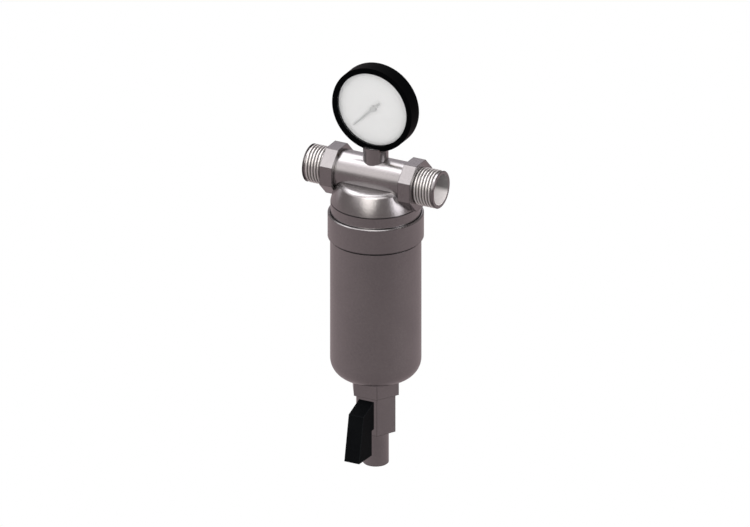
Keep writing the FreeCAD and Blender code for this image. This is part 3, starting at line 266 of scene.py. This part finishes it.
# materials: two colours that mix, the roughness range, how fine the two noises are and the bump's strength;
# edge is the share of the colour along sharp edges, painted shade along the nickel's edges and a painted
# highlight along the black plastic's
finishes = {
    "satinNickel": {
        "low": (0.395, 0.385, 0.390), "high": (0.450, 0.438, 0.440), "metallic": 1.0,
        "roughness": (0.235, 0.268), "grain": 700, "blotch": 26, "bump": 0.012, "edge": 0.42},
    # a much lighter copy of the nickel for the threads, a painted highlight on the crests
    "threadNickelPaintedLight": {
        "low": (0.82, 0.80, 0.78), "high": (0.90, 0.88, 0.86), "metallic": 0.85,
        "roughness": (0.28, 0.34), "grain": 700, "blotch": 40, "bump": 0.02},
    # near-black lining for the seam slots, painted shade in the gaps between pieces
    "seamPaintedShade": {
        "low": (0.010, 0.010, 0.011), "high": (0.016, 0.016, 0.017), "metallic": 0.0,
        "roughness": (0.6, 0.7), "grain": 900, "blotch": 60, "bump": 0.02, "gloss": 0.05},
    # bore finish: a pale painted reflection, with painted shade added towards the top in shadeBoreFinish
    "machinedBorePaintedLight": {
        "low": (0.95, 0.89, 0.88), "high": (0.99, 0.94, 0.93), "metallic": 0.0,
        "roughness": (0.20, 0.30), "grain": 700, "blotch": 40, "bump": 0.02},
    "chrome": {
        "low": (0.62, 0.62, 0.64), "high": (0.68, 0.68, 0.70), "metallic": 1.0,
        "roughness": (0.06, 0.10), "grain": 500, "blotch": 30, "bump": 0.01},
    "blackPlastic": {
        "low": (0.0028, 0.0032, 0.0036), "high": (0.0044, 0.0049, 0.0055), "metallic": 0.0,
        "roughness": (0.42, 0.55), "grain": 1400, "blotch": 60, "bump": 0.12, "gloss": 0.02, "edge": 2.6},
    "blackPaint": {
        "low": (0.0008, 0.0010, 0.0012), "high": (0.0014, 0.0016, 0.0019), "metallic": 0.0,
        "roughness": (0.36, 0.46), "grain": 1100, "blotch": 40, "bump": 0.04, "gloss": 0.015},
    "dialWhite": {
        "low": (0.74, 0.735, 0.73), "high": (0.77, 0.765, 0.76), "metallic": 0.0,
        "roughness": (0.55, 0.65), "grain": 900, "blotch": 35, "bump": 0.02, "gloss": 0.2},
    "pointerPaint": {
        "low": (0.46, 0.46, 0.455), "high": (0.52, 0.52, 0.515), "metallic": 0.0,
        "roughness": (0.45, 0.55), "grain": 900, "blotch": 50, "bump": 0.02, "gloss": 0.3},
    "machinedBrass": {
        "low": (0.60, 0.44, 0.20), "high": (0.72, 0.54, 0.27), "metallic": 1.0,
        "roughness": (0.24, 0.34), "grain": 800, "blotch": 60, "bump": 0.04},
    "blackRubber": {
        "low": (0.012, 0.012, 0.012), "high": (0.02, 0.02, 0.02), "metallic": 0.0,
        "roughness": (0.6, 0.75), "grain": 900, "blotch": 60, "bump": 0.1},
    "whiteSeat": {
        "low": (0.76, 0.76, 0.74), "high": (0.82, 0.82, 0.80), "metallic": 0.0,
        "roughness": (0.4, 0.5), "grain": 700, "blotch": 60, "bump": 0.03},
    "greyCage": {
        "low": (0.05, 0.055, 0.06), "high": (0.07, 0.075, 0.08), "metallic": 0.0,
        "roughness": (0.45, 0.55), "grain": 900, "blotch": 40, "bump": 0.06},
    "wovenSteel": {
        "low": (0.42, 0.42, 0.43), "high": (0.58, 0.58, 0.59), "metallic": 1.0,
        "roughness": (0.28, 0.4), "grain": 1500, "blotch": 90, "bump": 0.1},
    "blackSteel": {
        "low": (0.035, 0.035, 0.037), "high": (0.055, 0.055, 0.058), "metallic": 1.0,
        "roughness": (0.35, 0.5), "grain": 900, "blotch": 60, "bump": 0.05},
}
# what all the finishes share
surface = {
    "gloss": 0.5,
    "grainDetail": 3.0,
    "blotchDetail": 4.0,
    "grainShare": 0.45,            # of the grain in the colour, and the rest is blotches
    "noiseRange": (0.35, 0.65),    # the part of the noise that is used
    "bumpHeight": 0.2,             # mm
    # the painted shade and painted highlight line along sharp edges, found with a bevel-normal mask
    "edgeRadius": 0.7,             # mm, width of the line along sharp edges
    "edgeSamples": 6,
    "edgeBend": (0.997, 0.965),    # cosines at which that line begins and is full
}
windowGlass = {
    "colour": (0.9, 0.91, 0.91),
    "roughness": 0.04,
    "facing": 0.25,
    "alpha": (0.02, 0.35),         # seen straight on and edge on
}


# multiplies the base colour to paint light and shade: painted shade along the nickel's edges, a painted highlight
# along the black plastic's, painted shade in the thread's grooves and at the top of the bores
def paintOver(tree, shader, share):
    before = shader.inputs["Base Color"].links[0].from_socket
    feed(tree, shader.inputs["Base Color"], mixColours(tree, 1, before, share, "MULTIPLY"))


def makeFinish(name, f, s):
    material, tree, shader = newMaterial(name)
    feed(tree, shader.inputs["Metallic"], f["metallic"])
    feed(tree, shader.inputs["Specular IOR Level"], f.get("gloss", s["gloss"]))
    place = objectPlace(tree)
    grain, blotch = [
        addNode(tree, "ShaderNodeTexNoise", Vector=place, Scale=f[key], Detail=s[key + "Detail"]).outputs["Fac"]
        for key in ("grain", "blotch")]
    mixed = mathNode(tree, "ADD", mathNode(tree, "MULTIPLY", grain, s["grainShare"]),
                     mathNode(tree, "MULTIPLY", blotch, 1 - s["grainShare"]))
    share = remap(tree, mixed, *s["noiseRange"], 0, 1)
    feed(tree, shader.inputs["Base Color"], mixColours(tree, share, f["low"], f["high"]))
    feed(tree, shader.inputs["Roughness"], remap(tree, blotch, *s["noiseRange"], *f["roughness"]))
    # painted shade along sharp edges on the nickel and a painted highlight along them on the black plastic
    if "edge" in f:
        rounded = addNode(tree, "ShaderNodeBevel", samples=s["edgeSamples"], Radius=s["edgeRadius"] * mm)
        flat = addNode(tree, "ShaderNodeNewGeometry")
        bend = vectorNode(tree, "DOT_PRODUCT", rounded.outputs["Normal"], flat.outputs["Normal"])
        paintOver(tree, shader, remap(tree, bend, *s["edgeBend"], 1.0, f["edge"]))
    bump = addNode(tree, "ShaderNodeBump", Strength=f["bump"], Distance=s["bumpHeight"] * mm, Height=grain)
    feed(tree, shader.inputs["Normal"], bump.outputs["Normal"])
    return material


def makeWindowGlass(w):
    material, tree, shader = newMaterial("clearWindow")
    feed(tree, shader.inputs["Base Color"], w["colour"])
    feed(tree, shader.inputs["Roughness"], w["roughness"])
    facing = addNode(tree, "ShaderNodeLayerWeight", Blend=w["facing"])
    feed(tree, shader.inputs["Alpha"], remap(tree, facing.outputs["Fresnel"], 0, 1, *w["alpha"]))
    return material


paints = {name: makeFinish(name, f, surface) for name, f in finishes.items()}
paints["clearWindow"] = makeWindowGlass(windowGlass)
print("materials made")


# the CAD nodes of each finish
nodeFinish = {
    "satinNickel": ["head_body", "ring_nut", "bowl", "valve_body", "valve_end"],
    "chrome": ["ball"],
    "blackPlastic": ["drain_lever"],
    "blackPaint": ["gauge_case", "gauge_bezel", "dial_spacer"],
    "dialWhite": ["dial_plate"],
    "pointerPaint": ["pointer"],
    "clearWindow": ["gauge_window"],
    "machinedBrass": ["valve_stem", "gauge_socket", "bourdon_tube", "tube_tip", "tip_link", "sector_gear",
                      "pinion_arbor", "movement_back_plate", "movement_front_plate", "movement_pillars"],
    "blackRubber": ["bowl_seal", "screen_seal", "valve_gasket", "stem_seal"],
    "whiteSeat": ["upper_seat", "lower_seat"],
    "greyCage": ["screen_cage"],
    "wovenSteel": ["screen_mesh"],
    "blackSteel": ["lever_set_screw"],
}
for finish, names in nodeFinish.items():
    for name in names:
        mesh = nodes[name].data
        mesh.materials.clear()
        mesh.materials.append(paints[finish])
nodes["valve_stem"].visible_glossy = False     # leaves no mirror image in the metal round it
print("finishes put on")


# copies of the outer CAD nodes, with fine edges and seams; bevels in mm
shown = {
    "ringNut": {"node": "ring_nut", "finish": "satinNickel", "slot": "nickel_plate"},
    "filterBowl": {"node": "bowl", "finish": "satinNickel", "slot": "nickel_plate", "bevel": 0.25},
    "valveBody": {"node": "valve_body", "finish": "satinNickel", "slot": "nickel_plate", "bevel": 0.25},
    "drainPipe": {"node": "valve_end", "finish": "satinNickel", "slot": "nickel_plate"},
    "drainHandle": {"node": "drain_lever", "finish": "blackPlastic", "slot": "black_lever", "bevel": 0.4,
                    "mirrored": False},
    "gaugeDrum": {"node": "gauge_case", "finish": "blackPaint", "slot": "black_case", "mirrored": False},
    "gaugeRing": {"node": "gauge_bezel", "finish": "blackPaint", "slot": "black_case", "mirrored": False},
    "filterHead": {"node": "head_body", "finish": "satinNickel", "slot": "nickel_plate", "joinFlat": False},
}
copying = {
    "mergeWithin": 0.002,      # mm
    "flatWithin": 0.4,         # degrees between faces that are joined
    "sharpFrom": 32,           # degrees
    "bevelFrom": 35,
    "bevelSegments": 2,
    "normalWeight": 80,
    "ringSteps": 128,          # corners round a ring that is cut out
}
pipe = {"inletEnd": 0, "outletEnd": 100, "bowlAxis": 50}    # mm along the pipe
bodyOf = {name: body for body, names in frame["record"]["behaviour"]["bodies"].items() for name in names}


def copyNode(newName, s, c):
    mesh = nodes[s["node"]].data.copy()
    mesh.name = newName
    bm = bmesh.new()
    bm.from_mesh(mesh)
    bmesh.ops.remove_doubles(bm, verts=bm.verts, dist=c["mergeWithin"] * mm)
    if s.get("joinFlat", True):
        flat = math.radians(c["flatWithin"])
        bmesh.ops.dissolve_limit(bm, angle_limit=flat, verts=bm.verts, edges=bm.edges)
    bm.to_mesh(mesh)
    bm.free()
    for attribute in [a for a in mesh.attributes if a.name == "custom_normal"]:
        mesh.attributes.remove(attribute)
    mesh.materials.clear()
    mesh.materials.append(paints[s["finish"]])
    piece = bpy.data.objects.new(newName, mesh)
    scene.collection.objects.link(piece)
    return piece


def applyModifiers(piece):
    bpy.context.view_layer.update()
    evaluated = piece.evaluated_get(bpy.context.evaluated_depsgraph_get())
    mesh = bpy.data.meshes.new_from_object(evaluated)
    piece.modifiers.clear()
    piece.data = mesh


def bevelEdges(piece, width, c):
    bevel = piece.modifiers.new("edges", "BEVEL")
    bevel.width = width * mm
    bevel.segments = c["bevelSegments"]
    bevel.limit_method = "ANGLE"
    bevel.angle_limit = math.radians(c["bevelFrom"])
    applyModifiers(piece)


def smoothByAngle(piece, degrees):
    piece.data.shade_smooth()
    piece.data.set_sharp_from_angle(angle=math.radians(degrees))


def weighNormals(piece, weight):
    modifier = piece.modifiers.new("normals", "WEIGHTED_NORMAL")
    modifier.weight = weight
    modifier.keep_sharp = True
    applyModifiers(piece)


# a square-edged ring to cut with, upright on the bowl's axis or round the pipe
def ringCutter(name, finish, along, start, inner, outer, low, high):
    turn = Matrix.Rotation(math.radians(90), 4, "Y") if along == "pipe" else Matrix.Identity(4)
    steps = copying["ringSteps"]
    bm = bmesh.new()
    loops = []
    for radius, height in ((inner, low), (outer, low), (outer, high), (inner, high)):
        loop = []
        for k in range(steps):
            angle = 2 * math.pi * (k + 0.5) / steps
            point = Vector((radius * math.cos(angle), radius * math.sin(angle), height)) * mm
            loop.append(bm.verts.new(turn @ point + Vector((start, 0, 0)) * mm))
        loops.append(loop)
    for first, second in zip(loops, loops[1:] + loops[:1]):
        for k in range(steps):
            following = (k + 1) % steps
            bm.faces.new((first[k], first[following], second[following], second[k]))
    bmesh.ops.recalc_face_normals(bm, faces=bm.faces)
    mesh = bpy.data.meshes.new(name)
    bm.to_mesh(mesh)
    bm.free()
    mesh.materials.append(paints[finish])
    return bpy.data.objects.new(name, mesh)


def cutFrom(piece, cutters):
    for cutter in cutters:
        scene.collection.objects.link(cutter)
        modifier = piece.modifiers.new("cut", "BOOLEAN")
        modifier.operation = "DIFFERENCE"
        modifier.solver = "EXACT"
        modifier.material_mode = "TRANSFER"
        modifier.object = cutter
    applyModifiers(piece)
    for cutter in cutters:
        bpy.data.objects.remove(cutter)


# slots where two pieces meet, lined with near-black paint as painted shade in the gap: inner and outer radius,
# lower and upper edge in mm
seams = {
    "ringNut": [(30.3, 32.0, -18.3, -17.8), (30.4, 31.3, -26.5, -25.8)],
    "filterBowl": [(30.6, 32.0, -45.4, -44.25)],
}


def cutSeams(piece, rings):
    cutFrom(piece, [ringCutter(f"seam{k}", "seamPaintedShade", "bowl", pipe["bowlAxis"], *ring)
                    for k, ring in enumerate(rings)])


# the dome's side is a little crowned, so its gloss fades towards its foot; all in mm
dome = {
    "flatTop": -3.0,
    "topRadius": 25.6,
    "rounding": 4.0,       # of the edge between top and side
    "foot": -17.9,
    "footRadius": 30.9,
    "crownTop": -3.9,
    "crown": 0.41,
    "rings": 12,
    "near": 0.12,          # corners this close to the profile belong to the dome
    "slack": 0.01,         # above and below it
    "cutWithin": 0.0001,
}


def crownDome(piece, d):
    slope = (d["footRadius"] - d["topRadius"]) / (d["flatTop"] - d["foot"])
    lean = math.atan(slope)
    arcRadius = d["topRadius"] - d["rounding"] * math.tan((math.pi / 2 - lean) / 2)
    arcHeight = d["flatTop"] - d["rounding"]
    arcEnd = arcHeight + d["rounding"] * math.sin(lean)
    crownHeight = d["crownTop"] - d["foot"]

    def onDome(vert):
        height = vert.co.z / mm
        away = math.hypot(vert.co.x / mm - pipe["bowlAxis"], vert.co.y / mm)
        if not d["foot"] - d["slack"] <= height <= d["flatTop"] + d["slack"]:
            return False
        radius = d["footRadius"] - slope * (height - d["foot"])
        if height > arcEnd:
            radius = arcRadius + math.sqrt(max(d["rounding"] ** 2 - (height - arcHeight) ** 2, 0))
        return abs(away - radius) < d["near"]

    def domeFaces():
        return [face for face in bm.faces if all(onDome(vert) for vert in face.verts)]

    bm = bmesh.new()
    bm.from_mesh(piece.data)
    for k in range(d["rings"] + 1):
        height = d["foot"] + crownHeight * (k + 0.5) / (d["rings"] + 1)
        side = domeFaces()
        edges = dict.fromkeys(edge for face in side for edge in face.edges)
        verts = dict.fromkeys(vert for face in side for vert in face.verts)
        bmesh.ops.bisect_plane(bm, geom=[*side, *edges, *verts], dist=d["cutWithin"] * mm,
                               plane_co=(0, 0, height * mm), plane_no=(0, 0, 1))
    side = domeFaces()
    for vert in dict.fromkeys(vert for face in side for vert in face.verts):
        share = min(max((d["crownTop"] - vert.co.z / mm) / crownHeight, 0), 1)
        outwards = Vector((vert.co.x - pipe["bowlAxis"] * mm, vert.co.y, 0)).normalized()
        vert.co += outwards * d["crown"] * 4 * share * (1 - share) * mm    # full halfway down
    print("dome crowned,", len(side), "faces")
    bm.to_mesh(piece.data)
    bm.free()


# the bores are painted bright below, a painted reflection of the room, and painted darker above, a painted shade;
# in mm
bore = {
    "radius": 10.9,            # faces nearer to the pipe's axis are in a bore
    "steepest": 0.5,           # and don't face the ends
    "wall": (36, 60),          # along the pipe, left as it is
    "brightBelow": -6.2,
    "darkAbove": -2.2,
    "paintedShadeShare": 0.19,
}


def shadeBoreFinish(b):
    tree = paints["machinedBorePaintedLight"].node_tree
    height = addNode(tree, "ShaderNodeSeparateXYZ", Vector=objectPlace(tree)).outputs["Z"]
    # painted shade, darker towards the top of the bore
    share = remap(tree, height, b["brightBelow"] * mm, b["darkAbove"] * mm, 1.0, b["paintedShadeShare"], smooth=True)
    paintOver(tree, tree.nodes["Principled BSDF"], share)


# gives the faces inside the bores the bore finish with painted reflection and shade
def finishBores(piece, b):
    piece.data.materials.append(paints["machinedBorePaintedLight"])
    wallStart, wallEnd = b["wall"]
    for face in piece.data.polygons:
        inside = math.hypot(face.center.y, face.center.z) < b["radius"] * mm
        atWall = wallStart * mm < face.center.x < wallEnd * mm
        if inside and abs(face.normal.x) < b["steepest"] and not atWall:
            face.material_index = len(piece.data.materials) - 1


# thread of the pipe ends, a wound ridge on a root cylinder; in mm
thread = {
    "pitch": 2.2,
    "crest": 13.22,
    "root": 12.06,
    "sunk": 0.25,
    "crestFlat": 0.6,
    "rim": 0.45,               # full rim left at the end face
    "runOut": 15.4,
    "roomRadius": 15.0,        # of the ring that is cut away for the ridge
    "turns": 6.3,
    "first": 1.45,             # middle of the ridge where it starts
    "stepsPerTurn": 72,
    "taperShare": 0.06,        # share of the length over which the ridge rises and falls
    "taperSmallest": 0.03,
    "sharpFrom": 100,          # degrees
    "darkUpTo": 0.35,          # above the root, where the groove's shade begins to fade
    "brightFrom": 0.2,         # below the crest
    "paintedShadeShare": 0.22,
}
threadEnds = {"inletThread": ("inletEnd", 1), "outletThread": ("outletEnd", -1)}    # end face, way inwards


def makeThreadRoom(piece, t):
    room = (t["root"], t["roomRadius"])
    cutFrom(piece, [
        ringCutter("inletRoom", "satinNickel", "pipe", pipe["inletEnd"], *room, t["rim"], t["runOut"]),
        ringCutter("outletRoom", "satinNickel", "pipe", pipe["outletEnd"], *room, -t["runOut"], -t["rim"])])


def shadeThreadFinish(t):
    tree = paints["threadNickelPaintedLight"].node_tree
    radius = vectorNode(tree, "LENGTH", vectorNode(tree, "MULTIPLY", objectPlace(tree), (0, 1, 1)))
    dark, bright = (t["root"] + t["darkUpTo"]) * mm, (t["crest"] - t["brightFrom"]) * mm
    # painted shade in the grooves, up to the full colour near the crests
    share = remap(tree, radius, dark, bright, t["paintedShadeShare"], 1.0, smooth=True)
    paintOver(tree, tree.nodes["Principled BSDF"], share)


def threadTree(t):
    tree = bpy.data.node_groups.new("woundThread", "GeometryNodeTree")
    tree.interface.new_socket("Geometry", in_out="OUTPUT", socket_type="NodeSocketGeometry")
    sizes = {
        "Pitch": t["pitch"] * mm,
        "Turns": t["turns"],
        "Root Radius": t["root"] * mm,
        "Depth": (t["crest"] - t["root"]) * mm,
        "Sunk": t["sunk"] * mm,
        "Crest Flat": t["crestFlat"] * mm,
        "Taper Share": t["taperShare"],
    }
    for name, value in sizes.items():
        tree.interface.new_socket(name, in_out="INPUT", socket_type="NodeSocketFloat").default_value = value
    tree.interface.new_socket("Material", in_out="INPUT", socket_type="NodeSocketMaterial")
    given = tree.nodes.new("NodeGroupInput").outputs

    spiral = addNode(tree, "GeometryNodeCurveSpiral", Resolution=t["stepsPerTurn"], Reverse=True,
                     Rotations=given["Turns"], Start_Radius=given["Root Radius"], End_Radius=given["Root Radius"],
                     Height=mathNode(tree, "MULTIPLY", given["Pitch"], given["Turns"]))
    upright = addNode(tree, "GeometryNodeSetCurveNormal", mode="Z_UP", Curve=spiral.outputs["Curve"])

    along = addNode(tree, "GeometryNodeSplineParameter").outputs["Factor"]
    rise = mathNode(tree, "DIVIDE", along, given["Taper Share"])
    fall = mathNode(tree, "DIVIDE", mathNode(tree, "SUBTRACT", 1.0, along), given["Taper Share"])
    taper = mathNode(tree, "MINIMUM", mathNode(tree, "MINIMUM", rise, fall), 1.0)
    taper = mathNode(tree, "MAXIMUM", taper, t["taperSmallest"])

    halfPitch = mathNode(tree, "MULTIPLY", given["Pitch"], 0.5)
    halfFlat = mathNode(tree, "MULTIPLY", given["Crest Flat"], 0.5)
    low = mathNode(tree, "MULTIPLY", given["Sunk"], -1.0)
    corners = (
        (low, mathNode(tree, "MULTIPLY", halfPitch, -1.0)),
        (given["Depth"], mathNode(tree, "MULTIPLY", halfFlat, -1.0)),
        (given["Depth"], halfFlat),
        (low, halfPitch),
    )
    profile = addNode(tree, "GeometryNodeCurvePrimitiveQuadrilateral", mode="POINTS")
    for number, (out, aside) in enumerate(corners, start=1):
        corner = addNode(tree, "ShaderNodeCombineXYZ", X=out, Y=aside)
        feed(tree, profile.inputs[f"Point {number}"], corner.outputs[0])

    sweep = addNode(tree, "GeometryNodeCurveToMesh", Curve=upright.outputs["Curve"],
                    Profile_Curve=profile.outputs["Curve"], Scale=taper, Fill_Caps=True)
    real = addNode(tree, "GeometryNodeRealizeInstances", Geometry=sweep.outputs["Mesh"])
    painted = addNode(tree, "GeometryNodeSetMaterial", Geometry=real.outputs["Geometry"],
                      Material=given["Material"])
    addNode(tree, "NodeGroupOutput", Geometry=painted.outputs["Geometry"])
    return tree


def makeThread(name, tree, t, endFace, inwards):
    piece = bpy.data.objects.new(name, bpy.data.meshes.new(name))
    scene.collection.objects.link(piece)
    modifier = piece.modifiers.new("thread", "NODES")
    modifier.node_group = tree
    socket = [item for item in tree.interface.items_tree if item.name == "Material"][0]
    modifier[socket.identifier] = paints["threadNickelPaintedLight"]
    applyModifiers(piece)
    turn = Matrix.Rotation(math.radians(90) * inwards, 4, "Y")
    piece.data.transform(Matrix.Translation(Vector((endFace + inwards * t["first"], 0, 0)) * mm) @ turn)
    bm = bmesh.new()
    bm.from_mesh(piece.data)
    bmesh.ops.recalc_face_normals(bm, faces=bm.faces)
    bm.to_mesh(piece.data)
    bm.free()
    return piece


shadeBoreFinish(bore)
shadeThreadFinish(thread)

for newName, s in shown.items():
    piece = copyNode(newName, s, copying)
    if newName in seams:
        cutSeams(piece, seams[newName])
    if newName == "filterHead":
        crownDome(piece, dome)
        makeThreadRoom(piece, thread)
        finishBores(piece, bore)
    if "bevel" in s:
        bevelEdges(piece, s["bevel"], copying)
    smoothByAngle(piece, copying["sharpFrom"])
    weighNormals(piece, copying["normalWeight"])
    piece.visible_glossy = s.get("mirrored", True)     # black pieces leave no mirror image in the metal
    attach(piece, bodyOf[s["node"]])
    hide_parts(s["node"])
    print("piece", newName, len(piece.data.polygons), "faces")

woundThread = threadTree(thread)
for newName, (end, inwards) in threadEnds.items():
    piece = makeThread(newName, woundThread, thread, pipe[end], inwards)
    smoothByAngle(piece, thread["sharpFrom"])
    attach(piece, "root")
    print("piece", newName, len(piece.data.polygons), "faces")
